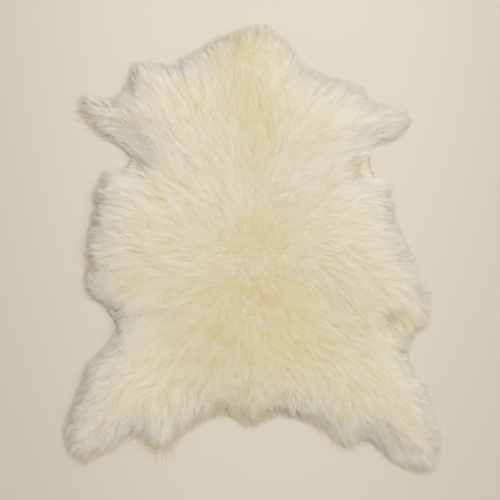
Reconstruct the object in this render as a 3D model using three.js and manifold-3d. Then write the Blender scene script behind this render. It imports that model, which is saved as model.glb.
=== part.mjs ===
// A goatskin rug: one whole hide with its long fleece on, lying flat, neck towards +Y.
// Millimetres, +Z up. The origin is under the middle of the rug, on the surface it lies on.
// The solid reaches as far as the fleece does: its underside is flat, its edge follows the
// hide's neck, forelegs, flanks, hind legs and tail, and its top swells and thins as the pile does.
import * as THREE from "three";
import { mergeVertices } from "three/addons/utils/BufferGeometryUtils.js";
import Module from "manifold-3d";

// ---- Driving dimensions ----
const PILE_HEIGHT = 40; // combed-down fleece over the back
const RIM_HEIGHT = 7; // where the tips meet the surface
const SLOPE_WIDTH = 75; // from the rim in to the full pile
const HIDE_THICKNESS = 2.5; // bare skin, with no fleece on it
const CURVE_STEP = 15; // between points along the outline
const GRID_STEP = 21; // between points over the top

// ---- Outline ----
// Landmarks from the neck down to the tail, with both sides of the hide in each row.
// The two sides differ, as they do on a real skin.
const NECK_TIP = [-5, 530];
const TAIL_TIP = [-7, -420];
const LANDMARKS = [
  { place: "neck crown", left: [-42, 519], right: [52, 522] },
  { place: "neck corner", left: [-98, 494], right: [90, 489] },
  { place: "neck side", left: [-150, 463], right: [123, 440] },
  { place: "shoulder front", left: [-200, 440], right: [190, 406] },
  { place: "shoulder point", left: [-280, 447], right: [260, 386] },
  { place: "leg notch", left: [-296, 394], right: [283, 348] },
  { place: "foreleg front", left: [-335, 357], right: [318, 342] },
  { place: "foreleg top", left: [-398, 371], right: [352, 340] },
  { place: "foreleg tip", left: [-412, 333], right: [373, 303] },
  { place: "foreleg back", left: [-372, 274], right: [338, 259] },
  { place: "armpit", left: [-292, 226], right: [279, 237] },
  { place: "armpit edge", left: [-297, 198], right: [283, 181] },
  { place: "flank front", left: [-352, 184], right: [320, 162] },
  { place: "flank high", left: [-378, 105], right: [333, 95] },
  { place: "flank middle", left: [-391, 5], right: [362, 8] },
  { place: "flank low", left: [-394, -84], right: [409, -70] },
  { place: "flank rear", left: [-344, -146], right: [419, -160] },
  { place: "groin", left: [-324, -180], right: [370, -222] },
  { place: "groin edge", left: [-338, -214], right: [370, -258] },
  { place: "thigh", left: [-393, -276], right: [402, -310] },
  { place: "hind leg front", left: [-427, -372], right: [430, -400] },
  { place: "hind leg point", left: [-447, -450], right: [444, -462] },
  { place: "hind leg tip", left: [-402, -503], right: [418, -522] },
  { place: "hind leg back", left: [-350, -480], right: [347, -511] },
  { place: "rump hollow", left: [-283, -442], right: [270, -452] },
  { place: "rump tuft", left: [-222, -473], right: [213, -463] },
  { place: "rump side", left: [-150, -423], right: [150, -419] },
  { place: "tail side", left: [-62, -391], right: [62, -393] },
];

// ---- Pile ----
// Swellings (positive) and hollows (negative) of the fleece, beyond its general height.
const SWELLS = [
  { place: "neck", x: 0, y: 400, radius: 110, height: 4 },
  { place: "left shoulder", x: -200, y: 300, radius: 90, height: 6 },
  { place: "right shoulder", x: 190, y: 270, radius: 90, height: 6 },
  { place: "left foreleg", x: -345, y: 320, radius: 60, height: 5 },
  { place: "right foreleg", x: 310, y: 300, radius: 60, height: 5 },
  { place: "back line", x: 5, y: 130, radius: 80, height: -5 },
  { place: "left flank", x: -270, y: 30, radius: 120, height: 5 },
  { place: "right flank", x: 290, y: -60, radius: 120, height: 6 },
  { place: "rump", x: 20, y: -220, radius: 130, height: 8 },
  { place: "left thigh", x: -320, y: -360, radius: 100, height: 8 },
  { place: "right thigh", x: 320, y: -380, radius: 100, height: 8 },
];

// Skin that shows bare at the armpits and groins, and how high it lies there: flat on the
// surface, but for one soft fold at the right groin.
const BARE_PATCHES = [
  { place: "left armpit", x: -280, y: 200, radius: 27, skin: HIDE_THICKNESS },
  { place: "right armpit", x: 271, y: 193, radius: 33, skin: HIDE_THICKNESS },
  { place: "left groin", x: -325, y: -176, radius: 18, skin: HIDE_THICKNESS },
  { place: "right groin", x: 348, y: -188, radius: 36, skin: 9 },
];

function outlineCurve() {
  const rightSide = LANDMARKS.map((row) => row.right);
  const leftSide = LANDMARKS.map((row) => row.left).reverse();
  const points = [NECK_TIP, ...rightSide, TAIL_TIP, ...leftSide].reverse();
  const vectors = points.map(([x, y]) => new THREE.Vector3(x, y, 0));
  return new THREE.CatmullRomCurve3(vectors, true, "centripetal");
}

// The outline as evenly spaced points, anticlockwise, about the middle of its own box.
function outlinePoints() {
  const curve = outlineCurve();
  const count = Math.round(curve.getLength() / CURVE_STEP);
  const points = curve.getSpacedPoints(count).slice(0, count);
  const middle = new THREE.Box3().setFromPoints(points).getCenter(new THREE.Vector3());
  return points.map((point) => new THREE.Vector2(point.x - middle.x, point.y - middle.y));
}

function distanceToSegment(point, start, end) {
  const along = end.clone().sub(start);
  const share = point.clone().sub(start).dot(along) / along.lengthSq();
  const nearest = start.clone().addScaledVector(along, THREE.MathUtils.clamp(share, 0, 1));
  return point.distanceTo(nearest);
}

function distanceToOutline(point, outline) {
  const distances = outline.map((start, i) => {
    const end = outline[(i + 1) % outline.length];
    return distanceToSegment(point, start, end);
  });
  return Math.min(...distances);
}

// A smooth hump: 1 at the middle, about a third at one radius, nothing far off.
function hump(point, row) {
  const distance = Math.hypot(point.x - row.x, point.y - row.y);
  return Math.exp(-((distance / row.radius) ** 2));
}

// How far inside the outline a point lies: 0 on the rim and everywhere outside it.
function depthInside(point, outline) {
  const crossings = outline.filter((start, i) => {
    const end = outline[(i + 1) % outline.length];
    const straddles = start.y > point.y !== end.y > point.y;
    const share = (point.y - start.y) / (end.y - start.y);
    return straddles && point.x < THREE.MathUtils.lerp(start.x, end.x, share);
  });
  return crossings.length % 2 === 1 ? distanceToOutline(point, outline) : 0;
}

// How high the fleece stands over a point of the hide.
function pileHeight(point, outline) {
  const inward = Math.min(depthInside(point, outline) / SLOPE_WIDTH, 1);
  const rounded = Math.sin((inward * Math.PI) / 2);
  const swell = SWELLS.reduce((sum, row) => sum + row.height * hump(point, row), 0);
  const fleece = RIM_HEIGHT + (PILE_HEIGHT - RIM_HEIGHT + swell) * rounded;
  return BARE_PATCHES.reduce((height, row) => {
    const bare = THREE.MathUtils.smoothstep(hump(point, row), 0.15, 0.75);
    return THREE.MathUtils.lerp(height, row.skin, bare);
  }, fleece);
}

// A slab under the whole rug's box, with its top at the pile's height.
function pileSlab(outline) {
  const size = new THREE.Box2().setFromPoints(outline).getSize(new THREE.Vector2());
  const width = size.x + 2 * GRID_STEP;
  const length = size.y + 2 * GRID_STEP;
  const columns = Math.round(width / GRID_STEP);
  const rows = Math.round(length / GRID_STEP);
  const slab = new THREE.BoxGeometry(width, length, PILE_HEIGHT, columns, rows, 1);
  const places = slab.getAttribute("position");
  for (let i = 0; i < places.count; i++) {
    const point = new THREE.Vector2(places.getX(i), places.getY(i));
    const isTop = places.getZ(i) > 0;
    places.setZ(i, isTop ? pileHeight(point, outline) : -PILE_HEIGHT);
  }
  return slab;
}

// A straight-sided block on the surface with the hide's outline, taller than the pile.
function outlineBlock(outline) {
  const options = { depth: 2 * PILE_HEIGHT, bevelEnabled: false };
  return new THREE.ExtrudeGeometry(new THREE.Shape(outline), options);
}

// ---- Solids ----
const wasm = await Module();
wasm.setup();

function toSolid(geometry) {
  geometry.deleteAttribute("normal");
  geometry.deleteAttribute("uv");
  const merged = mergeVertices(geometry, 1e-4);
  const mesh = new wasm.Mesh({
    numProp: 3,
    vertProperties: merged.getAttribute("position").array,
    triVerts: new Uint32Array(merged.index.array),
  });
  return new wasm.Manifold(mesh);
}

function toGeometry(solid) {
  const mesh = solid.getMesh();
  const geometry = new THREE.BufferGeometry();
  geometry.setAttribute("position", new THREE.BufferAttribute(mesh.vertProperties, 3));
  geometry.setIndex(new THREE.BufferAttribute(mesh.triVerts, 1));
  geometry.computeVertexNormals();
  return geometry;
}

// ---- Finish ----
function fleeceMaterial() {
  return new THREE.MeshStandardMaterial({ color: 0xe6dfc8, roughness: 0.85, metalness: 0 });
}

// ---- The rug ----
function goatskin() {
  const outline = outlinePoints();
  const body = toSolid(pileSlab(outline)).intersect(toSolid(outlineBlock(outline)));
  const mesh = new THREE.Mesh(toGeometry(body), fleeceMaterial());
  mesh.name = "goatskin";
  return mesh;
}

const rug = new THREE.Group();
rug.add(goatskin());

export default rug;
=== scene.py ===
# %% [markdown]
# # A goatskin rug, hair by hair
#
# This lesson dresses one flat CAD solid as a real long-haired goatskin: a thin tanned skin, short
# down on it, a dense coat of combed hair in pointed wisps, and loose hairs that stray past the
# rim. The solid says how far the fleece reaches and how deep it is. What shows is made here.

# %% Load the frame
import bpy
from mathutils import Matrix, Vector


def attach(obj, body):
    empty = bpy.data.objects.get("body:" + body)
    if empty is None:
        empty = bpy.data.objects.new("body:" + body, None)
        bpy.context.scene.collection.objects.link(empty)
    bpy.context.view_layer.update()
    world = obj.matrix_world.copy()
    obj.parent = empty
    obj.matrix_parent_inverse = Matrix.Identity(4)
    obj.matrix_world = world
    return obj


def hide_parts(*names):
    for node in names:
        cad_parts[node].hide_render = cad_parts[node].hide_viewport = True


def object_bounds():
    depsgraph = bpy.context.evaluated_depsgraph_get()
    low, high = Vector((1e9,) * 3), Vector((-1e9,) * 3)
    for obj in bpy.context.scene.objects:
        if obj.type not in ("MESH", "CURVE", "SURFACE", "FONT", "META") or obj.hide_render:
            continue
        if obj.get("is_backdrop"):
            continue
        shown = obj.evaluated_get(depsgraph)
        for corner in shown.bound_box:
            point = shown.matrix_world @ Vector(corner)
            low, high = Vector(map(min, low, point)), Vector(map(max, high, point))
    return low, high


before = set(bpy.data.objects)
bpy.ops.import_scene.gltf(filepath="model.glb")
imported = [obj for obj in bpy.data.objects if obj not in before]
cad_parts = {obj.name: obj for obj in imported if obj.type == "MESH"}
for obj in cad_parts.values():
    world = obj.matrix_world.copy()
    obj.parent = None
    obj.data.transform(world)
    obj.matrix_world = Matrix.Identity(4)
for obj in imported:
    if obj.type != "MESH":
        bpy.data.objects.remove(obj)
cad_low, cad_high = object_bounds()
print("CAD box", [round(x, 3) for x in cad_low], [round(x, 3) for x in cad_high])

import bmesh
import bpy
import numpy as np
from mathutils import Vector
from mathutils.bvhtree import BVHTree

MM = 0.001
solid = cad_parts["goatskin"]

# %% [markdown]
# ## Camera
#
# The rug is looked at from straight above, with its neck upwards. A short lens close by would make
# the coat lean outwards and stretch the legs, so a long lens stands well back.

# %% Camera
VIEW_WIDTH = 1180 * MM
VIEW_MIDDLE = (-6 * MM, -3 * MM)
LENS = 85.0
SENSOR = 36.0

camera_data = bpy.data.cameras.new("camera")
camera_data.lens = LENS
camera_data.sensor_width = SENSOR
camera = bpy.data.objects.new("camera", camera_data)
camera.location = (*VIEW_MIDDLE, VIEW_WIDTH * LENS / SENSOR)
bpy.context.scene.collection.objects.link(camera)
bpy.context.scene.camera = camera
print("camera height", round(camera.location.z, 3), "m")

# %% [markdown]
# ## Shader nodes from plain sums
#
# A finish is a network of nodes. Adding one by hand for each plus and times is slow to write and
# hard to read, so a small class wraps one output of a node, and arithmetic on it adds the nodes.
# A second class holds a material and adds any other kind of node in one call.

# %% A class that turns sums into shader nodes
class Wire:
    """One output of a shader node, so that plain arithmetic on it adds Math nodes."""

    def __init__(self, graph, socket):
        self.graph, self.socket = graph, socket

    def join(self, operation, *values):
        return self.graph.add("ShaderNodeMath", {"operation": operation}, dict(enumerate(values)))

    def __add__(self, other):
        return self.join("ADD", self, other)

    def __sub__(self, other):
        return self.join("SUBTRACT", self, other)

    def __mul__(self, other):
        return self.join("MULTIPLY", self, other)

    def __truediv__(self, other):
        return self.join("DIVIDE", self, other)

    def ramp(self, start, end):
        """A smooth step from 0 to 1 as this value goes from start to end."""
        values = {0: self, 1: start, 2: end}
        return self.graph.add("ShaderNodeMapRange", {"interpolation_type": "SMOOTHSTEP"}, values)


# %% A class for a material
class Graph:
    """A material's node tree, built one node at a time."""

    def __init__(self, name):
        self.material = bpy.data.materials.new(name)
        self.material.use_nodes = True
        self.nodes = self.material.node_tree.nodes
        self.links = self.material.node_tree.links
        self.nodes.clear()

    def add(self, kind, settings=None, values=None, output=0):
        """Adds a node: its settings first, then the values or links of its sockets."""
        node = self.nodes.new(kind)
        for name, value in (settings or {}).items():
            setattr(node, name, value)
        for key, value in (values or {}).items():
            if isinstance(value, Wire):
                self.links.new(value.socket, node.inputs[key])
            else:
                node.inputs[key].default_value = value
        return Wire(self, node.outputs[output])

    def mix(self, factor, first, second):
        """A colour between two others."""
        values = {0: factor, 6: first, 7: second}
        return self.add("ShaderNodeMix", {"data_type": "RGBA"}, values, output=2)

    def attribute(self, name):
        """A number kept at each vertex of the mesh."""
        return self.add("ShaderNodeAttribute", {"attribute_name": name}, output=2)

    def noise(self, place, scale, detail):
        """A cloudy value between 0 and 1."""
        values = {"Vector": place, "Scale": scale, "Detail": detail}
        return self.add("ShaderNodeTexNoise", None, values)

    def finish(self, surface):
        """Makes a shader the surface and gives the finished material."""
        output = self.nodes.new("ShaderNodeOutputMaterial")
        self.links.new(surface.socket, output.inputs["Surface"])
        return self.material


def srgb(red, green, blue):
    """A colour written as 0 to 255, as the linear numbers that shaders use."""
    scaled = [value / 255 for value in (red, green, blue)]
    return (*[x / 12.92 if x <= 0.04045 else ((x + 0.055) / 1.055) ** 2.4 for x in scaled], 1.0)


# %% [markdown]
# ## The floor
#
# The rug lies on a wide sheet of plain pale paper, one flat square. Its colour is painted paler
# around the upper middle and darker outwards, as a pool of lamp light, so the lamps can stay broad
# and plain.

# %% Paper
# Painted light: the paper's colour in a lit pool around the upper middle, shaded further out.
LIT_PAPER = srgb(203, 196, 180)
SHADED_PAPER = srgb(191, 183, 167)
LIGHT_POOL_HALF_WIDTH = 0.62
LIGHT_POOL_HALF_LENGTH = 1.9
LIGHT_POOL_Y = 0.45
LIGHT_POOL_REACH = 1.15


def floor_material():
    graph = Graph("paper floor")
    place = graph.add("ShaderNodeTexCoord", output=3)
    x = graph.add("ShaderNodeSeparateXYZ", None, {0: place})
    y = Wire(graph, x.socket.node.outputs[1])
    across = x / LIGHT_POOL_HALF_WIDTH
    down = (y - LIGHT_POOL_Y) / LIGHT_POOL_HALF_LENGTH
    far = across * across + down * down
    # Painted pool of light: paler near the upper middle, darker further out.
    colour = graph.mix(far.ramp(0.0, LIGHT_POOL_REACH), LIT_PAPER, SHADED_PAPER)
    surface = graph.add("ShaderNodeBsdfPrincipled", None, {"Base Color": colour, "Roughness": 0.9})
    return graph.finish(surface)


# %% Floor
FLOOR_SIZE = 8.0

sheet = bmesh.new()
bmesh.ops.create_grid(sheet, x_segments=1, y_segments=1, size=FLOOR_SIZE / 2)
floor_mesh = bpy.data.meshes.new("floor")
sheet.to_mesh(floor_mesh)
sheet.free()
floor = bpy.data.objects.new("floor", floor_mesh)
floor.data.materials.append(floor_material())
bpy.context.scene.collection.objects.link(floor)
floor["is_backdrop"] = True
print("floor", FLOOR_SIZE, "m wide")

# %% [markdown]
# ## Lamps
#
# A pale rug on pale paper is drawn by its shadows. A large soft lamp far off to the right leaves a
# wide, soft shadow along the left and lower rim, and one above the neck lights the top of the
# coat. A pale world fills the shadows. A small hard lamp would pick out every hair instead.

# %% Lamps and world
# name, place (m), width (m), power (W)
LAMPS = [
    ("overhead", (0.3, 1.5, 3.9), 3.2, 99),
    ("key", (7.2, 2.3, 6.6), 5.5, 334),
]
WORLD_COLOUR = (1.0, 0.985, 0.958, 1.0)
WORLD_STRENGTH = 0.55


def area_lamp(name, place, size, power):
    data = bpy.data.lights.new(name, "AREA")
    data.shape = "DISK"
    data.size = size
    data.energy = power
    lamp = bpy.data.objects.new(name, data)
    lamp.location = place
    lamp.rotation_euler = (-Vector(place)).to_track_quat("-Z", "Y").to_euler()
    bpy.context.scene.collection.objects.link(lamp)


for row in LAMPS:
    area_lamp(*row)
world = bpy.data.worlds.new("world")
world.use_nodes = True
background = world.node_tree.nodes["Background"]
background.inputs["Color"].default_value = WORLD_COLOUR
background.inputs["Strength"].default_value = WORLD_STRENGTH
bpy.context.scene.world = world
bpy.context.scene.view_settings.view_transform = "Standard"
print("lamps", [name for name, *_ in LAMPS])

# %% [markdown]
# ## Maps of the rug
#
# Every hair needs to know how deep the fleece is where it lies and how far the rim is. A ray for
# each hair would be slow, so both are read off the solid once, onto a fine grid, and looked up
# from there for all hairs together.

# %% A grid over the rug
CELL = 4 * MM
MARGIN = 60 * MM

grid_x = np.arange(cad_low[0] - MARGIN, cad_high[0] + MARGIN, CELL)
grid_y = np.arange(cad_low[1] - MARGIN, cad_high[1] + MARGIN, CELL)
grid = np.stack(np.meshgrid(grid_x, grid_y), axis=-1)


def look_up(table, points):
    """The values of a grid table at any points, blended between its cells."""
    column = ((points[..., 0] - grid_x[0]) / CELL).clip(0, len(grid_x) - 1.001)
    row = ((points[..., 1] - grid_y[0]) / CELL).clip(0, len(grid_y) - 1.001)
    left, low = column.astype(int), row.astype(int)
    across, up = column - left, row - low
    below = table[low, left] * (1 - across) + table[low, left + 1] * across
    above = table[low + 1, left] * (1 - across) + table[low + 1, left + 1] * across
    return below * (1 - up) + above * up


def smooth(value):
    """A smooth step of values from 0 to 1."""
    value = value.clip(0, 1)
    return value * value * (3 - 2 * value)


print("grid", len(grid_x), "by", len(grid_y))

# %% Depth of the fleece
tree = BVHTree.FromObject(solid, bpy.context.evaluated_depsgraph_get())


def top_of_solid(x, y):
    hit = tree.ray_cast(Vector((x, y, 1.0)), Vector((0, 0, -1)))[0]
    return hit.z if hit else 0.0


pile_depth = np.array([[top_of_solid(x, y) for x in grid_x] for y in grid_y])
print("deepest pile", round(float(pile_depth.max()) / MM), "mm")

# %% Distance to the rim
# An edge of the rim has the flat underside on one of its two sides.
shape = bmesh.new()
shape.from_mesh(solid.data)
bmesh.ops.remove_doubles(shape, verts=shape.verts, dist=0.01 * MM)
rim_edges = [
    edge for edge in shape.edges
    if sum(face.normal.z < -0.99 for face in edge.link_faces) == 1
]
rim_ends = np.array([[end.co.xy for end in edge.verts] for edge in rim_edges])
shape.free()


def distance_to_rim(points):
    nearest = np.full(points.shape[:-1], np.inf)
    for start, end in rim_ends:
        along = end - start
        share = ((points - start) @ along / (along @ along)).clip(0, 1)
        gap = points - start - share[..., None] * along
        nearest = np.minimum(nearest, np.hypot(gap[..., 0], gap[..., 1]))
    return nearest


rim_depth = distance_to_rim(grid) * np.where(pile_depth > 0, 1, -1)
print("rim edges", len(rim_edges), "farthest in", round(float(rim_depth.max()) / MM), "mm")

# %% [markdown]
# ## Ripples
#
# Nothing on a hide is even: the combing sways, the coat swells, and the colour drifts. Waves of
# random direction and length, added up, give a value that wanders smoothly like that. The draws
# are seeded, so they come out the same each time.

# %% Ripples
chance = np.random.default_rng(11)


def ripple(points, wavelength, count=9):
    """A smooth random value over the rug, about -1 to 1."""
    total = 0
    for _ in range(count):
        angle = chance.uniform(0, 2 * np.pi)
        pace = 2 * np.pi / (wavelength * chance.uniform(0.7, 1.6))
        wave = np.array([np.cos(angle), np.sin(angle)]) * pace
        total = total + np.sin(points @ wave + chance.uniform(0, 2 * np.pi))
    return total / np.sqrt(count)


# %% [markdown]
# ## Bare skin
#
# At the armpits and groins the pelt was cut across, and a little skin shows with no hair on it.
# Each place is an oval, turned to lie along the cut: the hair hides its true outline. No hair is
# rooted there, the coat falls towards it, and only some hairs lie over its edge.

# %% Bare places
# place, x, y, half length, half width (mm), turn (degrees), coat fall: over how many mm the coat
# sinks towards it, coat left: the share of its depth that it keeps there, cover: how far hairs
# may lie over it (mm)
BARE_SKIN = [
    ("left armpit", -279, 200, 17, 13, -40, 22, 0.28, 14),
    ("right armpit", 269, 191, 25, 16, 80, 18, 0.28, 14),
    ("left groin", -326, -168, 34, 7, 103, 12, 0.28, 0),
    ("right groin", 341, -191, 22, 6, -50, 60, 0.85, 9),
    ("right groin end", 362, -250, 9, 6, -45, 18, 0.28, 2),
]


def oval_distance(points, row):
    """About how far outside an oval the points lie, negative inside it."""
    _, x, y, half_length, half_width, turn, *_ = row
    angle = np.radians(turn)
    offset = points - np.array([x, y]) * MM
    along = offset @ np.array([np.cos(angle), np.sin(angle)])
    across = offset @ np.array([-np.sin(angle), np.cos(angle)])
    size = np.hypot(along / (half_length * MM), across / (half_width * MM))
    return np.linalg.norm(offset, axis=-1) * (1 - 1 / size.clip(0.01, None))


# %% How near every point is to bare skin
RAGGED = 2 * MM
FALL_START = -8 * MM

bare_distances = [oval_distance(grid, row) for row in BARE_SKIN]
bare_distance = np.min(bare_distances, axis=0) + RAGGED * ripple(grid, 30 * MM)
shares = [
    coat_left + (1 - coat_left) * smooth((gap - FALL_START) / (coat_fall * MM))
    for gap, (*_, coat_fall, coat_left, _) in zip(bare_distances, BARE_SKIN)
]
coat_share = np.min(shares, axis=0)
cover = np.array([row[-1] for row in BARE_SKIN])[np.argmin(bare_distances, axis=0)] * MM
bare_area = (bare_distance < 0).sum() * CELL**2
print("bare skin", len(BARE_SKIN), "places,", round(bare_area * 1e4), "square centimetres")

# %% [markdown]
# ## A flat slab with a free outline
#
# The skin and the down are both low, wide shapes with a winding edge. A slab starts as a grid of
# squares. Those off the hide are deleted, and the vertices left on the ragged edge slide to the
# true outline. Then the grid is extruded and its two faces get their heights. Cutting a block
# with the outline instead would leave slivers along the edge, which shade badly.

# %% A grid trimmed to the outline
def trimmed_grid(depth, cell):
    """A grid of squares over the part of the ground where a depth table is above zero."""
    width, height = cad_high[0] - cad_low[0], cad_high[1] - cad_low[1]
    columns, rows = int(width / cell) + 2, int(height / cell) + 2
    shape = bmesh.new()
    bmesh.ops.create_grid(shape, x_segments=columns, y_segments=rows, size=0.5)
    for vertex in shape.verts:
        vertex.co.x *= columns * cell
        vertex.co.y *= rows * cell
    places = np.array([vertex.co.xy for vertex in shape.verts])
    inside = look_up(depth, places) > 0
    outside = [vertex for vertex, kept in zip(shape.verts, inside) if not kept]
    bmesh.ops.delete(shape, geom=outside, context="VERTS")
    lonely = [face for face in shape.faces if sum(edge.is_boundary for edge in face.edges) > 2]
    bmesh.ops.delete(shape, geom=lonely, context="FACES")
    loose = [vertex for vertex in shape.verts if not vertex.link_faces]
    bmesh.ops.delete(shape, geom=loose, context="VERTS")
    return shape


def slide_to_outline(shape, depth, cell):
    """Moves the boundary of a trimmed grid to where the depth table is zero."""
    rim = [vertex for vertex in shape.verts if vertex.is_boundary]
    for _ in range(3):
        places = np.array([vertex.co.xy for vertex in rim])
        slope_y, slope_x = np.gradient(depth, CELL)
        slope = np.stack([look_up(slope_x, places), look_up(slope_y, places)], axis=-1)
        steep = np.maximum((slope**2).sum(-1, keepdims=True), 0.25)
        shift = -look_up(depth, places)[:, None] * slope / steep
        for vertex, (x, y) in zip(rim, shift.clip(-cell, cell)):
            vertex.co.x += x
            vertex.co.y += y
    bmesh.ops.smooth_vert(shape, verts=rim, factor=0.5, use_axis_x=True, use_axis_y=True)


# %% A piece of the rug
def add_piece(name, mesh):
    """Makes a mesh a visible piece of the rug, in place of the solid."""
    piece = bpy.data.objects.new(name, mesh)
    bpy.context.scene.collection.objects.link(piece)
    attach(piece, "root")
    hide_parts("goatskin")
    return piece


# %% A closed slab
def flat_slab(name, depth, cell, bottom, top):
    """A closed piece where depth is above zero; bottom and top give its heights at points."""
    shape = trimmed_grid(depth, cell)
    slide_to_outline(shape, depth, cell)
    floor_verts = list(shape.verts)
    bmesh.ops.extrude_face_region(shape, geom=list(shape.faces), use_keep_orig=True)
    top_verts = [vertex for vertex in shape.verts if vertex not in set(floor_verts)]
    for group, level in ((floor_verts, bottom), (top_verts, top)):
        places = np.array([vertex.co.xy for vertex in group])
        for vertex, z in zip(group, level(places)):
            vertex.co.z = z
    bmesh.ops.recalc_face_normals(shape, faces=shape.faces)
    mesh = bpy.data.meshes.new(name)
    shape.to_mesh(mesh)
    shape.free()
    mesh.shade_smooth()
    return add_piece(name, mesh)


def vertex_places(piece):
    """Where the vertices of a piece are, seen from above."""
    return np.array([vertex.co.xy for vertex in piece.data.vertices])


def add_attribute(mesh, label, values):
    """Keeps a number at each vertex, for the material to read."""
    attribute = mesh.attributes.new(label, "FLOAT", "POINT")
    attribute.data.foreach_set("value", np.asarray(values, np.float32).ravel())


# %% [markdown]
# ## The skin
#
# The tanned skin is about two millimetres thick and lies flat on the floor. It ends a few
# centimetres short of the hair tips, except at the bare places, where it was cut and shows. There
# its dried edge curls up a little, and a band along it is darker, partly as dried leather and
# partly as a painted shadow line. At the right groin it has dried in one soft fold. The fold and
# the curl are smooth humps in its heights: cloth settled by simulation would lie too softly for
# leather.

# %% Folds of the skin
SKIN = 2 * MM
OVERHANG = 34 * MM
BARE_EDGE = 2 * MM
BARE_REACH = 40 * MM
FOLD_MIDDLE = np.array([338, -187]) * MM
FOLD_ALONG = np.array([0.69, -0.72])
FOLD_ACROSS = np.array([0.72, 0.69])
FOLD_LENGTH = 34 * MM
FOLD_WIDTH = 11 * MM
FOLD_HEIGHT = 17 * MM
CURL_WIDTH = 9 * MM
CURL_HEIGHT = 4 * MM

near_bare = 1 - smooth((bare_distance - BARE_EDGE) / BARE_REACH)
skin_depth = rim_depth - OVERHANG * (1 - near_bare)


def fold(points, width=FOLD_WIDTH):
    """How far the fold at the right groin lifts the skin."""
    along = (points - FOLD_MIDDLE) @ FOLD_ALONG
    across = (points - FOLD_MIDDLE) @ FOLD_ACROSS
    return FOLD_HEIGHT * np.exp(-((across / width) ** 2) - (along / FOLD_LENGTH) ** 4)


def curl(points):
    """How far the dried cut edge of a bare place has curled up."""
    rim = 1 - smooth(look_up(skin_depth, points) / CURL_WIDTH)
    return CURL_HEIGHT * rim * look_up(near_bare, points)


print("skin reaches", round(float(skin_depth.max()) / MM), "mm in from its edge")

# %% Skin finish
def skin_material():
    """Cream suede with faint clouds and a fine grain, brown along the cut as dried edge and
    painted shadow.
    """
    graph = Graph("tanned skin")
    place = graph.add("ShaderNodeTexCoord", output=3)
    cloud = graph.noise(place, 28.0, 3.0)
    grain = graph.noise(place, 900.0, 2.0)
    colour = graph.mix(cloud.ramp(0.35, 0.7), srgb(205, 197, 174), srgb(198, 185, 157))
    cut = graph.attribute("cut")
    # Painted shadow line along the cut, which is also darker as dried leather.
    dried_and_shadowed = graph.mix(cut * cut, colour, srgb(140, 118, 90))
    relief = {"Strength": 0.3, "Distance": 0.0004, "Height": grain}
    bump = graph.add("ShaderNodeBump", None, relief)
    values = {"Base Color": dried_and_shadowed, "Roughness": 0.7, "Normal": bump}
    return graph.finish(graph.add("ShaderNodeBsdfPrincipled", None, values))


# %% Skin
HIDE_CELL = 8 * MM
CUT_WIDTH = 7 * MM
CUT_DRYING_AND_SHADOW = 0.9

hide = flat_slab("hide", skin_depth, HIDE_CELL,
                 lambda points: fold(points) + curl(points),
                 lambda points: fold(points) + curl(points) + SKIN)
hide.data.materials.append(skin_material())
hide_places = vertex_places(hide)
# Painted shadow line along the cut edge, also darker as dried leather.
cut = 1 - (look_up(skin_depth, hide_places) / CUT_WIDTH).clip(0, 1)
add_attribute(hide.data, "cut", CUT_DRYING_AND_SHADOW * cut * look_up(near_bare, hide_places))
print("skin", len(hide.data.polygons), "faces", [round(x, 3) for x in hide.dimensions])

# %% [markdown]
# ## Yellowing
#
# Goat hair is white at the rim and yellows along the back, where the grease of the coat is. A
# table of soft ovals says where and how strongly, and a ripple breaks them up. The value is worked
# out at each vertex and kept there, so hair and down take their colour from the same map.

# %% Yellowed places
# place, x, y, half width, half height (mm), strength
YELLOWED = [
    ("crown", 15, 500, 100, 50, 0.25),
    ("shoulders", 0, 400, 330, 90, 0.1),
    ("right side", 390, -40, 100, 420, 0.12),
    ("right hind leg", 390, -440, 90, 90, 0.12),
    ("right armpit", 250, 190, 22, 30, 0.5),
    ("left armpit", -268, 200, 20, 20, 0.4),
    ("right groin", 356, -172, 34, 26, 0.55),
    ("neck", -35, 452, 50, 65, 0.5),
    ("nape", -5, 335, 75, 65, 0.42),
    ("back line", 15, 240, 42, 90, 0.48),
    ("back centre", 22, 45, 75, 55, 0.6),
    ("ribs", 0, 10, 230, 70, 0.22),
    ("left ribs", -200, 85, 70, 60, 0.15),
    ("loin", 25, -100, 110, 48, 0.8),
    ("left loin", -115, -105, 60, 50, 0.3),
    ("right loin", 85, -172, 60, 50, 0.6),
    ("right hip", 125, -225, 70, 50, 0.4),
    ("left hip", -105, -205, 55, 40, 0.45),
    ("hindquarters", 0, -220, 270, 150, 0.45),
    ("right thigh", 250, -330, 50, 40, 0.3),
    ("tail", 0, -385, 110, 40, 0.3),
    ("left belly", -275, -85, 40, 35, 0.3),
]
MOTTLING = 0.25

mottle = ripple(grid, 42 * MM)


def soft_oval(points, x, y, half_width, half_height):
    """1 in the middle of an oval, about a third at its edge, and nothing far off."""
    offset = (points - np.array([x, y]) * MM) / (np.array([half_width, half_height]) * MM)
    return np.exp(-(offset**2).sum(-1))


def yellowing(points):
    """How yellow the hair is at any points, from 0 to 1."""
    clean = np.ones(points.shape[:-1])
    for _, *oval, strength in YELLOWED:
        clean *= 1 - strength * soft_oval(points, *oval)
    return ((1 - clean) * (1 + MOTTLING * look_up(mottle, points))).clip(0, 1)


print("yellowed places", len(YELLOWED))
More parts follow.
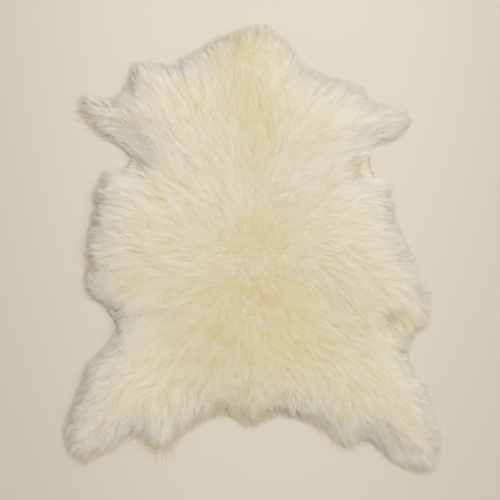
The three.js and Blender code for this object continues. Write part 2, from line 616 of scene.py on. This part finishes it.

# %% [markdown]
# ## The edge of the coat
#
# Combed hair doesn't thin out evenly towards the rim: it ends in uneven puffs, and falls steeply
# to the floor beyond them. On the shaded side, left and below, the puffs stand out most, while at
# the legs and rump the coat lies low and long loose hairs reach past it. Each row of the table
# adds to what is usual, near its place: how deep the puffs are shaded, how tan the tips are
# (partly their own colour, partly a painted warm shade on the side away from the lamps), how far
# in the coat ends, how far loose hairs reach past it, over what width it slopes, and how much
# lower it has settled.

# %% Places along the rim
# place, x, y, half width, half height (mm), shade, tan (tan tips and painted warm shade), inset,
# fringe, side (mm), low
RIM_PLACES = [
    ("neck", 0, 500, 300, 80, -0.1, 0.0, 5, 0, 4, 0.2),
    ("left foreleg", -375, 310, 60, 50, 0.3, 0.6, 0, 18, -8, 0.6),
    ("left armpit", -300, 240, 60, 65, -0.15, 0.2, -6, -8, -12, 0.45),
    ("left flank", -385, 10, 80, 170, 0.65, 0.8, 0, 2, 0, 0),
    ("left thigh", -425, -350, 80, 130, 0.45, 0.5, 0, 4, 6, 0),
    ("left hind leg", -380, -480, 90, 60, 0.25, 0.5, 0, 18, 22, 0.45),
    ("left rump", -210, -450, 100, 50, 0.0, 0.8, 2, 42, 22, 0.6),
    ("tail", -40, -410, 110, 50, 0.0, 0.9, 2, 8, 26, 0.6),
    ("right rump", 180, -440, 110, 50, -0.1, 0.8, 3, 32, 26, 0.6),
    ("right hind leg", 370, -500, 80, 50, 0.0, 0.7, -2, 18, 22, 0.6),
    ("left flank low", -365, -95, 50, 60, -0.2, 0.1, 10, 14, 30, 0.1),
    ("right foreleg", 330, 275, 55, 40, -0.1, 0.4, -4, 2, -12, 0.5),
    ("right flank rear", 375, -155, 65, 55, 0, 0.9, 0, 0, 0, 0.6),
    ("right armpit", 275, 205, 40, 50, -0.2, -0.2, -6, -8, -10, 0.8),
    ("right side", 420, 60, 120, 420, -0.25, -0.1, 0, 0, 4, 0),
]


def rim_value(usual, column):
    """A value over the rug that is usual everywhere but near the places of the table."""
    total = np.full(rim_depth.shape, float(usual))
    for row in RIM_PLACES:
        total = total + row[column] * soft_oval(grid, *row[1:5])
    return total


shaded = rim_value(0.35, 5).clip(0, 1)
# Tan is tan in the tips and also a painted warm shade, greatest on the left and below, away from
# the lamps.
tan_and_shade = rim_value(0.2, 6).clip(0, 1)
inset = rim_value(0, 7)
fringe = rim_value(13, 8)
side = rim_value(20, 9) * MM
low = rim_value(0, 10).clip(0, 0.6)
print("loose hairs reach", round(float(fringe.min())), "to", round(float(fringe.max())), "mm")

# %% Puffs
EDGE_COAT = 5 * MM
PUFF_RISE = 26 * MM
SETTLED_WIDTH = 110 * MM

lobes = 15 * ripple(grid, 85 * MM) + 6 * ripple(grid, 32 * MM)
puff_depth = rim_depth + lobes * (0.15 + 0.85 * shaded) * MM
steep_side = np.sin(0.5 * np.pi * (puff_depth / side).clip(0, 1))
full_coat = EDGE_COAT + PUFF_RISE * steep_side
settled = 1 - low * (1 - smooth(rim_depth / SETTLED_WIDTH))
coat_top = np.maximum(pile_depth, full_coat) * settled * coat_share
coat_top = np.where(rim_depth > 0, coat_top, 0)
print("coat deepest", round(float(coat_top.max()) / MM), "mm")

# %% [markdown]
# ## The underwool
#
# Under its long hair a goat carries short, dense down. It packs the fleece out to most of its
# height, so no skin is ever seen between the hairs. One soft closed shape stands for it, nearly
# hidden. Its colours are darker than the hair's, because a matt closed surface sends back more
# light than see-through hair does, and in the gaps the two should look alike.

# %% Height of the underwool
WOOL_INSET = 15 * MM
WOOL_NEARER_BARE = 14 * MM
WOOL_SLOPE = 24 * MM

wool_depth = np.minimum(rim_depth, bare_distance + WOOL_NEARER_BARE) - WOOL_INSET
wool_share = 0.76 + 0.18 * smooth((rim_depth - WOOL_INSET) / (80 * MM))
wool_top = (coat_top * wool_share - SKIN).clip(0, None) * smooth(wool_depth / WOOL_SLOPE)
wool_height = np.where(wool_depth > 0, SKIN + wool_top, 0)
print("down deepest", round(float(wool_height.max()) / MM), "mm")


def wool_material():
    """Matt down, more cream where the coat has yellowed, and beige towards the rim."""
    graph = Graph("underwool")
    cream = graph.attribute("cream")
    colour = graph.mix(cream, srgb(202, 193, 169), srgb(199, 184, 146))
    shaded = graph.mix(graph.attribute("shade"), colour, srgb(198, 185, 156))
    surface = graph.add("ShaderNodeBsdfPrincipled", None, {"Base Color": shaded, "Roughness": 0.9})
    return graph.finish(surface)


# %% Underwool
WOOL_CELL = 11 * MM
ABOVE_SKIN = 0.3 * MM
LEAST_WOOL = 0.5 * MM
SHADE_WIDTH = 75 * MM

wool = flat_slab("underwool", wool_depth, WOOL_CELL,
                 lambda points: fold(points) + curl(points) + SKIN + ABOVE_SKIN,
                 lambda points: look_up(wool_height, points) + LEAST_WOOL)
wool.data.materials.append(wool_material())
wool_places = vertex_places(wool)
add_attribute(wool.data, "cream", yellowing(wool_places))
add_attribute(wool.data, "shade", 1 - smooth(look_up(rim_depth, wool_places) / SHADE_WIDTH))
print("underwool", len(wool.data.polygons), "faces")

# %% [markdown]
# ## Combing
#
# The coat is combed out from the back line to every edge. One rule such as straight outwards would
# look mechanical, and a stroke for every wisp would be endless, so a chart of guide strokes says
# which way the hair points on each side of the back, in degrees from the right, and how long it
# is. The direction anywhere else is a blend of the strokes nearby.

# %% Combing chart
# place, left (x, y, heading), right (x, y, heading), length (mm, degrees)
COMBING = [
    ("neck tip", (-35, 505, 97), (40, 500, 82), 50),
    ("neck corner", (-85, 470, 108), (85, 465, 62), 60),
    ("neck", (-45, 400, 97), (50, 395, 76), 65),
    ("nape", (-140, 430, 117), (135, 400, 50), 70),
    ("shoulder rim", (-210, 415, 124), (205, 375, 45), 75),
    ("shoulder point", (-270, 420, 122), (250, 360, 34), 70),
    ("withers", (-50, 290, 100), (50, 290, 80), 75),
    ("shoulder", (-150, 310, 121), (140, 300, 45), 85),
    ("shoulder blade", (-230, 320, 130), (215, 300, 36), 85),
    ("foreleg", (-300, 325, 147), (290, 305, 24), 75),
    ("foreleg tip", (-375, 340, 146), (345, 310, 18), 65),
    ("foreleg back", (-350, 290, 188), (320, 268, 8), 60),
    ("foreleg underside", (-385, 312, 192), (352, 288, 4), 50),
    ("foreleg root", (-318, 258, 172), (298, 252, 12), 60),
    ("armpit", (-260, 240, 148), (240, 230, 20), 60),
    ("chest", (-180, 210, 137), (170, 200, 36), 90),
    ("chest side", (-100, 190, 120), (90, 190, 58), 85),
    ("back high", (-35, 190, 102), (40, 190, 72), 75),
    ("rib top", (-120, 110, 143), (100, 115, 20), 85),
    ("rib", (-220, 130, 150), (210, 120, 27), 90),
    ("flank high", (-330, 150, 160), (305, 130, -6), 80),
    ("flank", (-340, 70, 172), (310, 60, 3), 85),
    ("rib middle", (-220, 50, 162), (210, 50, 2), 95),
    ("back middle", (-90, 30, 158), (80, 50, 25), 80),
    ("back centre", (-35, 75, 122), (45, 75, 52), 60),
    ("above parting", (-50, 15, 135), (75, 15, 35), 45),
    ("parting top", (-10, 18, 108), (35, 18, 65), 40),
    ("parting foot", (-10, -38, 258), (35, -38, -72), 40),
    ("below parting", (-55, -40, 215), (75, -40, -35), 55),
    ("flank middle", (-330, -20, 180), (340, -20, -4), 85),
    ("rib low", (-200, -30, 177), (220, -40, -24), 95),
    ("loin", (-120, -60, 193), (120, -80, -42), 90),
    ("flank low", (-350, -80, 222), (390, -90, -24), 80),
    ("belly", (-270, -90, 205), (300, -100, -28), 90),
    ("loin side", (-180, -120, 205), (190, -130, -42), 95),
    ("flank rear", (-310, -140, 216), (395, -165, -52), 75),
    ("rump top", (-30, -150, 240), (40, -150, -55), 60),
    ("hip", (-110, -190, 218), (120, -200, -38), 85),
    ("hip side", (-220, -200, 211), (230, -220, -36), 100),
    ("groin", (-310, -215, 216), (330, -235, -28), 75),
    ("rump", (-40, -270, 255), (50, -280, -72), 60),
    ("thigh top", (-130, -270, 226), (130, -280, -46), 90),
    ("thigh", (-240, -290, 212), (240, -300, -38), 105),
    ("thigh side", (-350, -280, 194), (370, -300, -30), 90),
    ("tail side", (-60, -350, 264), (60, -350, -84), 60),
    ("rump rim", (-150, -370, 266), (150, -370, -76), 85),
    ("rump tuft", (-225, -400, 272), (215, -410, -76), 90),
    ("hock", (-300, -380, 234), (310, -390, -48), 105),
    ("hind leg", (-390, -370, 205), (400, -390, -22), 95),
    ("hind leg outside", (-425, -410, 204), (432, -420, -10), 80),
    ("hind leg tip", (-395, -450, 224), (405, -470, -44), 90),
    ("hind leg sole", (-400, -490, 244), (415, -505, -58), 80),
    ("hind leg back", (-320, -430, 254), (330, -460, -66), 90),
]

# %% Blend the strokes
STROKE_REACH = 52 * MM
STROKE_CORE = 0.15

strokes = np.array([
    (*stroke, length) for _, left, right, length in COMBING for stroke in (left, right)
])
stroke_places = strokes[:, :2] * MM
stroke_headings = np.radians(strokes[:, 2])


def blend_strokes(points, values):
    """Blends a value of each stroke over the points, the nearest strokes counting most."""
    total = np.zeros(points.shape[:-1])
    weight = np.zeros(points.shape[:-1])
    for place, value in zip(stroke_places, values):
        squared = ((points - place) ** 2).sum(-1) / STROKE_REACH**2
        pull = 1 / (STROKE_CORE + squared) ** 2
        total += pull * value
        weight += pull
    return total / weight


combed_x = blend_strokes(grid, np.cos(stroke_headings))
combed_y = blend_strokes(grid, np.sin(stroke_headings))
hair_length = blend_strokes(grid, strokes[:, 3] * MM)
print("strokes", len(strokes), "hair", round(float(hair_length.min()) / MM), "to",
      round(float(hair_length.max()) / MM), "mm")

# %% [markdown]
# ## Wisps
#
# Clean long hair doesn't lie singly. It gathers in pointed wisps about a centimetre wide that
# overlap like thatch. A hair system would have to be turned into a mesh for the export and gives
# less say over where hairs end, so the roots are arrays of points: one for each wisp, spread
# evenly over the skin. Each wisp follows the combing. Short ones fill in where the combing parts,
# short curly ones lie over the back, and fine loose ones reach past the rim.

# %% Where wisps grow
RIM_GAP = 12 * MM
BARE_GAP = 2 * MM


def scatter(spacing, keep):
    """Evenly jittered points over the rug, where keep is true."""
    columns = np.arange(grid_x[0], grid_x[-1], spacing)
    rows = np.arange(grid_y[0], grid_y[-1], spacing)
    points = np.stack(np.meshgrid(columns, rows), axis=-1).reshape(-1, 2)
    points = points + chance.uniform(-0.5, 0.5, points.shape) * spacing
    return points[keep(points)]


# place, x, y, half width, half height (mm)
CURLY = [
    ("parting", 15, 5, 95, 45),
    ("loin", 40, -150, 110, 80),
    ("rump", 10, -250, 120, 90),
    ("left rump", -90, -300, 60, 60),
    ("tail", -20, -370, 60, 30),
    ("crown", -5, 440, 60, 50),
]


def curliness(points):
    """How curly the hair is at any points, from 0 to 1."""
    total = np.zeros(points.shape[:-1])
    for _, *oval in CURLY:
        total = np.maximum(total, soft_oval(points, *oval))
    return total


def grows(points):
    return (look_up(rim_depth, points) > RIM_GAP) & (look_up(bare_distance, points) > BARE_GAP)


def grows_near_rim(points):
    return grows(points) & (look_up(rim_depth, points) < chance.uniform(85, 125, len(points)) * MM)


def grows_inside(points):
    return look_up(rim_depth, points) > chance.uniform(80, 120, len(points)) * MM


def grows_curly(points):
    return grows(points) & (curliness(points) > chance.uniform(0.25, 0.9, len(points)))


def grows_loose(points):
    depth = look_up(rim_depth, points)
    return (depth > 10 * MM) & (depth < 34 * MM) & (look_up(bare_distance, points) > 8 * MM)


# %% Wisp paths
STEP = 4 * MM
STEPS = 34


def trace(roots, turn, bend):
    """Where wisps run from their roots: along the combing, but turned and bent a little."""
    paths = [roots]
    for step in range(STEPS):
        here = paths[-1]
        heading = np.arctan2(look_up(combed_y, here), look_up(combed_x, here))
        heading = heading + turn + bend * step * STEP
        paths.append(here + STEP * np.stack([np.cos(heading), np.sin(heading)], axis=-1))
    return np.stack(paths, axis=1)


# %% The coat's own wisps
# They turn off the combing, in degrees: in slow sways, more so over the back and among curls.
outer = scatter(9.6 * MM, grows_near_rim)
coat = np.concatenate([outer, scatter(11.2 * MM, grows_inside)])
far_inland = smooth(look_up(rim_depth, coat) / (150 * MM))
coat_turn = (4 + 10 * far_inland) * ripple(coat, 60 * MM) + 8 * ripple(coat, 170 * MM)
coat_turn = coat_turn + 20 * curliness(coat) * ripple(coat, 50 * MM)
coat_turn = coat_turn + 12 * curliness(coat) * chance.normal(size=len(coat))
coat_turn = np.radians(coat_turn + 6 * chance.normal(size=len(coat)))
coat_paths = trace(coat, coat_turn, 0)
print("wisps", len(coat), "of them near the rim", len(outer))

# %% Short wisps where few pass over
passing = coat_paths[:, 4:20].reshape(-1, 2)
edges = [np.append(axis, axis[-1] + CELL) - CELL / 2 for axis in (grid_y, grid_x)]
passes = np.histogram2d(passing[:, 1], passing[:, 0], bins=edges)[0]
BLUR = np.hanning(9) / np.hanning(9).sum()
for axis in (0, 1):
    passes = np.apply_along_axis(np.convolve, axis, passes, BLUR, mode="same")
usual = np.median(passes[rim_depth > 60 * MM])


def grows_short(points):
    thin = look_up(passes, points) / usual
    return grows(points) & (thin < chance.uniform(0.35, 1.0, len(points)))


short = scatter(8 * MM, grows_short)
curls = scatter(6.6 * MM, grows_curly)
loose = scatter(6 * MM, grows_loose)
print("short wisps", len(short), "curls", len(curls), "loose", len(loose))

# %% All wisps together
# Each row of four gives its value for the coat, short, curly and loose wisps.
TURN = np.radians([0, 14, 60, 20])
BEND = np.array([1.5, 4, 20, 4])
LENGTH = np.array([1, 0.6, 0.5, 1])
HAIRS = np.array([18, 12, 8, 4])
OUTER_HAIRS = 16

roots = np.concatenate([coat, short, curls, loose])
wisps = len(roots)
kind = np.repeat([0, 1, 2, 3], [len(coat), len(short), len(curls), len(loose)])
is_curl = kind == 2
is_loose = kind == 3
turn = chance.normal(size=wisps) * TURN[kind]
turn = turn + np.radians(4) * chance.normal(size=wisps)
turn[:len(coat)] = coat_turn
bend = BEND[kind] * chance.normal(size=wisps)
bend[:len(coat)] *= 1 + 2 * far_inland
paths = trace(roots, turn, bend)

layer = np.where(is_loose, chance.uniform(0, 0.7, wisps), chance.uniform(0, 1, wisps))
layer = np.where(is_curl, 0.5 + 0.5 * layer, layer)
wisp_length = look_up(hair_length, roots) * LENGTH[kind]
wisp_length = wisp_length * chance.uniform(0.85, 1.15, wisps)
hair_counts = HAIRS[kind]
hair_counts[:len(outer)] = OUTER_HAIRS
hair_counts[is_loose] = 3 + (look_up(fringe, loose) / 9.5).astype(int)
print("wisps in all", wisps, "hairs planned", int(hair_counts.sum()))

# %% [markdown]
# ## Hairs
#
# Each hair is a flat tapered ribbon about a millimetre wide, standing for a few dozen real hairs.
# It rises quickly out of the down, lies over its neighbours, and ends in a point. A wisp has three
# strands, and hairs of one strand share their level, place and tone, most of all on the shaded
# side. The hairs are worked out together as arrays, as there are over a hundred thousand.

# %% Levels in the coat
STRANDS = 3
UPPER_SHARE = 0.68


def along_paths(wisp, arc):
    """Points at these distances along the wisps' paths."""
    step = (arc / STEP).astype(int)
    rest = (arc / STEP - step)[..., None]
    return paths[wisp[:, None], step] * (1 - rest) + paths[wisp[:, None], step + 1] * rest


longest = STEPS * STEP * 0.999
reach = np.minimum(wisp_length, longest)
reached = along_paths(np.arange(wisps), reach[:, None])[:, 0]
wisp_of = np.repeat(np.arange(wisps), hair_counts)
inland = smooth((look_up(rim_depth, roots) - 50 * MM) / (70 * MM))
# Strands stand out most away from the key lamp, and least over the back.
lee = 0.5 - 0.5 * ((roots[:, 0] + 0.5 * roots[:, 1]) / (400 * MM)).clip(-1, 1)
contrast = (1 - 0.5 * inland) * (0.25 + 0.75 * lee)
strand_of = STRANDS * wisp_of + chance.integers(0, STRANDS, len(wisp_of))
strand_layer = chance.uniform(0, 1, STRANDS * wisps)[strand_of]
hair_layer = chance.uniform(0, 1, len(wisp_of))
hair_layer = hair_layer + 0.55 * contrast[wisp_of] * (strand_layer - hair_layer)
hair_layer = hair_layer + 0.3 * (layer[wisp_of] - hair_layer)
is_top = chance.uniform(0, 1, STRANDS * wisps)[strand_of] < UPPER_SHARE * (1 - inland[wisp_of])
is_top = is_top & ~is_loose[wisp_of]
hair_layer = np.where(is_top, 0.45 + 0.55 * hair_layer, hair_layer)
hair_layer = hair_layer + chance.normal(0, 0.05, len(wisp_of))
length = wisp_length[wisp_of] * chance.triangular(0.62, 1.0, 1.18, len(wisp_of))
print("upper hairs", int(is_top.sum()), "of", len(is_top))

# %% Where hairs stop
# Near the rim the coat thins out: upper wisps stop short in soft puffs, and few hairs pass it.
SHORTEST = 16 * MM

rank = 0.1 * layer + 0.15 * chance.uniform(0, 1, wisps)
rank = rank[wisp_of] + 0.55 * chance.uniform(0, 1, STRANDS * wisps)[strand_of]
rank = rank + 0.2 * chance.uniform(0, 1, len(wisp_of))
stop = look_up(inset, reached)[wisp_of]
ragged = ripple(reached, 24 * MM) * ((look_up(fringe, roots) - 8) / 20).clip(0.2, 1.2)
low_stop = 0.5 * stop - 8 + 16 * rank + 4 * ragged[wisp_of]
top_stop = stop - 6 + (26 + 24 * look_up(shaded, reached)[wisp_of]) * rank
stop = np.where(is_top, top_stop, low_stop)
strays = 0.75 * chance.triangular(0, 0.4, 1, wisps)[wisp_of]
strays = strays + 0.25 * chance.uniform(0, 1, len(wisp_of))
loose_reach = (8 + look_up(fringe, roots)) * (0.95 + 0.5 * ragged)
loose_stop = 8 - loose_reach[wisp_of] * strays
stop = np.where(is_loose[wisp_of], loose_stop, stop) * MM
puffed = smooth((layer - 0.3) / 0.4)[:, None]
wisp_depth = look_up(rim_depth, paths) * (1 - puffed) + look_up(puff_depth, paths) * puffed
past_rim = wisp_depth[wisp_of] < stop[:, None]
covering = look_up(cover, paths)[wisp_of] * chance.triangular(0, 0.2, 1, len(wisp_of))[:, None]
past_skin = look_up(bare_distance, paths)[wisp_of] < BARE_GAP - covering
ended = past_rim | past_skin
free = np.where(ended.any(1), ended.argmax(1), STEPS) + chance.uniform(-1, 0, len(wisp_of))
length = np.minimum(length, free.clip(1, None) * STEP)
long_enough = length > SHORTEST
wisp_of, strand_of = wisp_of[long_enough], strand_of[long_enough]
hair_layer, length = hair_layer[long_enough], length[long_enough]
hairs = len(wisp_of)
print("hairs", hairs, "of them cut short by an edge", int(ended.any(1)[long_enough].sum()))

# %% Tufts
# Wisps lean together into tufts, a little less where they end at the rim.
tufts = scatter(26 * MM, lambda points: look_up(rim_depth, points) > -10 * MM)
nearest = np.array([np.argmin(((tufts - place) ** 2).sum(-1)) for place in reached])
end_depth = look_up(rim_depth, reached)
gather = 0.22 - 0.06 * (1 - smooth((end_depth - 10 * MM) / (50 * MM)))
pull = (tufts[nearest] - reached) * gather[:, None]
print("tufts", len(tufts))

# %% Hairs across a wisp
SECTIONS = 4

share = np.linspace(0, 1, SECTIONS + 1)
arc = np.minimum(length[:, None] * share, longest)
radius = (7 - 1.5 * inland) * MM
middle = along_paths(wisp_of, arc)
middle = middle + pull[wisp_of][:, None, :] * ((arc / reach[wisp_of][:, None]) ** 2)[..., None]
split = contrast[wisp_of][:, None]
spread = chance.normal(size=(STRANDS * wisps, 2)).clip(-1.8, 1.8)[strand_of] * (0.5 + 0.5 * split)
spread = spread + (0.85 - 0.5 * split) * chance.normal(size=(hairs, 2)).clip(-2, 2)
pointed = np.where(is_loose, 0.6, 0.2 + 0.45 * inland)
closing = radius[wisp_of][:, None] * (1 - pointed[wisp_of][:, None] * share**0.8)
drift = chance.normal(size=(hairs, 2)).clip(-2.2, 2.2)
strayed = spread[:, None, :] + drift[:, None, :] * 0.25 * share[:, None]
flat = middle + strayed * closing[..., None]
print("hairs across a wisp", round(float(2 * radius.max()) / MM), "mm")

# %% Fine waves, shared by a wisp
WAVELENGTH = 48 * MM


def unit(vectors):
    """The same vectors, one long."""
    return vectors / np.maximum(np.linalg.norm(vectors, axis=-1, keepdims=True), 1e-9)


heading = unit(np.gradient(middle, axis=1))
sideways = np.stack([-heading[..., 1], heading[..., 0]], axis=-1)
wave_phase = chance.uniform(0, 2 * np.pi, wisps)[wisp_of] + chance.normal(0, 0.5, hairs)
wave = np.sin(2 * np.pi * arc / WAVELENGTH + wave_phase[:, None]) * share
wave_size = (0.9 + 1.5 * curliness(roots))[wisp_of]
flat = flat + sideways * (wave * wave_size[:, None])[..., None] * MM

# %% Height of the hairs
# Out of the down, level with the rest of their layer, with the tips tucked down a little.
LOWEST = 0.8 * MM
FOLD_CLEARANCE = 20 * MM

rise = np.sin(0.5 * np.pi * (share / 0.4).clip(0, 1)) - 0.2 * ((share - 0.5) / 0.5).clip(0, 1) ** 2
wool_here = look_up(wool_height, flat)
pile_here = look_up(coat_top, flat)
room = (pile_here - wool_here).clip(0, None)
height = wool_here - 2 * MM + (2.5 * MM + room * hair_layer[:, None]) * rise
on_skin = look_up(skin_depth, flat) > -4 * MM
ground = np.where(on_skin, SKIN + fold(flat, FOLD_CLEARANCE) + curl(flat), 0) + LOWEST
height = np.maximum(height, ground)
spines = np.concatenate([flat, height[..., None]], axis=-1)
print("highest hair", round(float(height.max()) / MM, 1), "mm")

# %% [markdown]
# ## Ribbons
#
# A hair's line becomes a ribbon: two vertices for each section and one at the tip. A tube would
# need four times the faces and look no different from a metre away. The faces are filled in from
# arrays, because an operator for each hair would take minutes. Every ribbon has a place of its own
# in the texture, so that its finish can be baked.

# %% Ribbons
def per_corner(left, right):
    """Gathers the two sides of every ribbon into its list of vertices."""
    pairs = np.stack([left[:, :-1], right[:, :-1]], axis=2)
    pairs = pairs.reshape(len(left), 2 * SECTIONS, *left.shape[2:])
    return np.concatenate([pairs, right[:, -1:]], axis=1)


def ribbons(spines, width, roll):
    """Vertices of tapered ribbons: two for each section but the last, which is a point."""
    run = unit(np.gradient(spines, axis=1))
    side = unit(np.cross(run, (0.0, 0.0, 1.0)))
    face = np.cross(side, run)
    tilt = np.cos(roll)[:, None, None] * side + np.sin(roll)[:, None, None] * face
    taper = 0.5 * width[:, None] * (0.75 + 0.25 * np.sin(np.pi * share)) * (1 - share**2.5)
    return per_corner(spines - tilt * taper[..., None], spines + tilt * taper[..., None])


# %% Places in the texture
def hair_cells(count, columns=128):
    """A place of its own in the texture for every hair: along it, and from side to side."""
    number = np.arange(count)[:, None]
    ones = np.ones((count, 1))
    along = per_corner(ones * (0.1 + 0.8 * share), ones * (0.1 + 0.8 * share))
    across = per_corner(ones * np.full(SECTIONS + 1, 0.2), ones * np.full(SECTIONS + 1, 0.8))
    across[:, -1] = 0.5
    rows = -(-count // columns)
    cells = [(number % columns + along) / columns, (number // columns + across) / rows]
    return np.stack(cells, axis=-1).reshape(-1, 2)


# %% One mesh of many ribbons
def ribbon_mesh(name, corners, normals, values):
    """One mesh of many ribbons, with a value of each attribute at every vertex."""
    count, size, _ = corners.shape
    quads = np.array([[0, 1, 3, 2]]) + 2 * np.arange(SECTIONS - 1)[:, None]
    tip = np.array([size - 3, size - 2, size - 1])
    loops = np.concatenate([quads.ravel(), tip])
    sizes = np.concatenate([np.full(SECTIONS - 1, 4), [3]])
    every_loop = (loops + size * np.arange(count)[:, None]).ravel()
    every_size = np.tile(sizes, count)
    mesh = bpy.data.meshes.new(name)
    mesh.vertices.add(count * size)
    mesh.vertices.foreach_set("co", corners.ravel())
    mesh.loops.add(len(every_loop))
    mesh.loops.foreach_set("vertex_index", every_loop)
    mesh.polygons.add(len(every_size))
    starts = np.concatenate([[0], np.cumsum(every_size)[:-1]])
    mesh.polygons.foreach_set("loop_start", starts)
    mesh.update(calc_edges=True)
    mesh.polygons.foreach_set("use_smooth", np.ones(len(every_size), bool))
    mesh.normals_split_custom_set_from_vertices(normals.reshape(-1, 3))
    for label, value in values.items():
        add_attribute(mesh, label, value)
    uv = mesh.uv_layers.new(name="OFBake")
    uv.data.foreach_set("uv", hair_cells(count)[every_loop].astype(np.float32).ravel())
    return mesh


# %% [markdown]
# ## Hair finish
#
# Goat hair is translucent and silky. The shader mixes a soft gloss with light that passes through,
# so a wisp glows where the lamp is behind it. White hair is tinted cream over the back, golden
# strands run through it, and tips near the rim are tan. Low in the coat and at the rim the hair
# also gets a painted warm shade, and a painted shade darkens it towards the rim. The four amounts
# are kept at each vertex, as they change along a hair and not over a flat map.

# %% Hair material
TRANSLUCENT = (0.94, 0.93, 0.885, 1.0)
GLOW_SHARE = 0.45


def hair_material():
    graph = Graph("goat hair")
    cream = graph.attribute("cream")
    gold_and_depth_shade = graph.attribute("gold_and_depth_shade")
    tone_and_shade = graph.attribute("tone_and_shade")
    white = graph.mix(cream, srgb(249, 249, 246), srgb(237, 222, 175))
    # Gold holds golden strands, golden roots and a painted warm shade low in the coat.
    golden = graph.mix(gold_and_depth_shade, white, srgb(229, 208, 155))
    # Tone holds random tone, tan tips and a painted warm shade at the rim.
    toned_and_shaded = graph.mix(tone_and_shade, golden, srgb(224, 206, 168))
    # Painted shade: darker towards the rim and on loose hairs over the floor.
    with_painted_shade = graph.mix(graph.attribute("painted_shade"), toned_and_shaded, srgb(150, 134, 108))
    values = {"Base Color": with_painted_shade, "Roughness": 0.5, "Specular IOR Level": 0.3}
    gloss = graph.add("ShaderNodeBsdfPrincipled", None, values)
    glow = graph.add("ShaderNodeBsdfTranslucent", None, {"Color": TRANSLUCENT})
    surface = graph.add("ShaderNodeMixShader", None, {0: GLOW_SHARE, 1: gloss, 2: glow})
    return graph.finish(surface)


# %% Width and roll
roll = chance.normal(0, np.radians(22), hairs).clip(-1, 1) * (0.4 + 0.6 * contrast[wisp_of])
plain_width = 0.86 + 0.24 * inland
width = np.where(is_loose, 0.42, plain_width)[wisp_of] * MM * chance.uniform(0.7, 1.2, hairs)
corners = ribbons(spines, width, roll)
print("hairs are", round(float(width.mean()) / MM, 2), "mm wide on average")

# %% Shading of a wisp as one rounded lock
# Its hairs face outwards from its middle, and down the slope of the coat.
slope_y, slope_x = np.gradient(coat_top, CELL)
slope = np.stack([look_up(slope_x, flat), look_up(slope_y, flat)], axis=-1)
downhill = -unit(slope)
puff_here = look_up(puff_depth, flat)
edge = 1 - smooth((puff_here - 2 * MM) / (36 * MM))
steepness = 0.06 + 0.1 * edge
hill = np.concatenate([downhill * steepness[..., None], np.ones((*flat.shape[:2], 1))], axis=-1)
outwards = 0.05 * (spread[:, None, :] * sideways).sum(-1)
lean = np.concatenate([sideways * outwards[..., None], np.zeros((*flat.shape[:2], 1))], axis=-1)
normals = unit(unit(hill) + lean)

# %% How cream and how golden, with a painted warm shade low in the coat
yellow = yellowing(flat)
age = 0.3 * smooth(look_up(rim_depth, flat) / (100 * MM))
cream = age + (1 - age) * yellow + chance.normal(0, 0.08, wisps)[wisp_of][:, None]
cream = cream.clip(0, 1)
golden = chance.uniform(0, 1, hairs) < 0.03 + 0.1 * yellow[:, 2]
# The lower a hair lies, the more golden: a painted warm shade deep in the coat.
gold_and_depth_shade = np.where(golden, chance.uniform(0, 0.15, hairs), 0) + 0.17 * (1 - hair_layer)
streak = np.where(is_curl, 0.95, 0.65)[wisp_of]
gold_and_depth_shade = gold_and_depth_shade + streak * chance.uniform(0, 1, STRANDS * wisps)[strand_of] ** 3
gold_and_depth_shade = gold_and_depth_shade[:, None] + 0.15 * (1 - share / 0.5).clip(0, 1)
gold_and_depth_shade = (gold_and_depth_shade * (1 - 0.8 * edge)).clip(0, 1)
print("cream", round(float(cream.mean()), 2), "gold_and_depth_shade", round(float(gold_and_depth_shade.mean()), 2), "on average")

# %% How tan, and how much painted shade
# Painted shade darkens the hair towards the rim and the loose hairs over the floor. The middle
# of the back is made very slightly darker too.
DARKER_MIDDLE = (50, 40, 200, 200)

tone_and_shade = (chance.uniform(0, 0.25, STRANDS * wisps)[strand_of] ** 1.5)[:, None] * (0.4 + 0.6 * split)
lowness = 1 - smooth((hair_layer - 0.1) / 0.55)
lowness = np.where(is_loose[wisp_of], 0.4, lowness)[:, None]
near_rim = 1 - smooth(look_up(rim_depth, flat) / (65 * MM))
tan_and_shade_here = look_up(tan_and_shade, flat)
near_rim = near_rim * (0.3 + 0.7 * tan_and_shade_here)
# Painted warm shade: lower hairs near the rim, and tips where the table gives tan.
tone_and_shade = (tone_and_shade + 0.5 * lowness * near_rim + 0.5 * edge * tan_and_shade_here).clip(0, 1)

# Painted shade, darker towards the rim where the coat slopes away.
painted_shade = 0.11 * (1 - smooth(puff_here / (2 * look_up(side, flat)).clip(25 * MM, None)))
painted_shade = painted_shade * (1 - 1.6 * look_up(low, flat))
painted_shade = painted_shade + 0.055 * soft_oval(flat, *DARKER_MIDDLE)
# Painted shadow on loose hairs lying over the floor.
painted_shade = painted_shade + np.where(is_loose[wisp_of][:, None], 0.13 * edge * tan_and_shade_here, 0)
print("tan", round(float(tone_and_shade.mean()), 2), "painted_shade", round(float(painted_shade.mean()), 3), "on average")

# %% Make the fleece
# Six meshes, each a sector of the rug, keep every piece small enough to hand on.
REGIONS = 6

root_place = roots[wisp_of]
angle = np.arctan2(root_place[:, 1] - 20 * MM, root_place[:, 0])
region = np.argsort(np.argsort(angle)) * REGIONS // hairs
labelled = {"cream": cream, "gold_and_depth_shade": gold_and_depth_shade, "tone_and_shade": tone_and_shade, "painted_shade": painted_shade}
fur = hair_material()
for number in range(REGIONS):
    mine = region == number
    values = {label: per_corner(value[mine], value[mine]) for label, value in labelled.items()}
    facing = per_corner(normals[mine], normals[mine])
    mesh = ribbon_mesh(f"fleece_{number}", corners[mine], facing, values)
    mesh.materials.append(fur)
    piece = add_piece(f"fleece_{number}", mesh)
    triangles = (2 * SECTIONS - 1) * int(mine.sum())
    print(piece.name, int(mine.sum()), "hairs", triangles, "triangles")

# %% [markdown]
# ## The flat size
#
# A hide is a sheet too: cut once and then laid flat. Here the box around all the shown pieces is
# measured.

# %% Measure the box around the pieces
low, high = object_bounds()
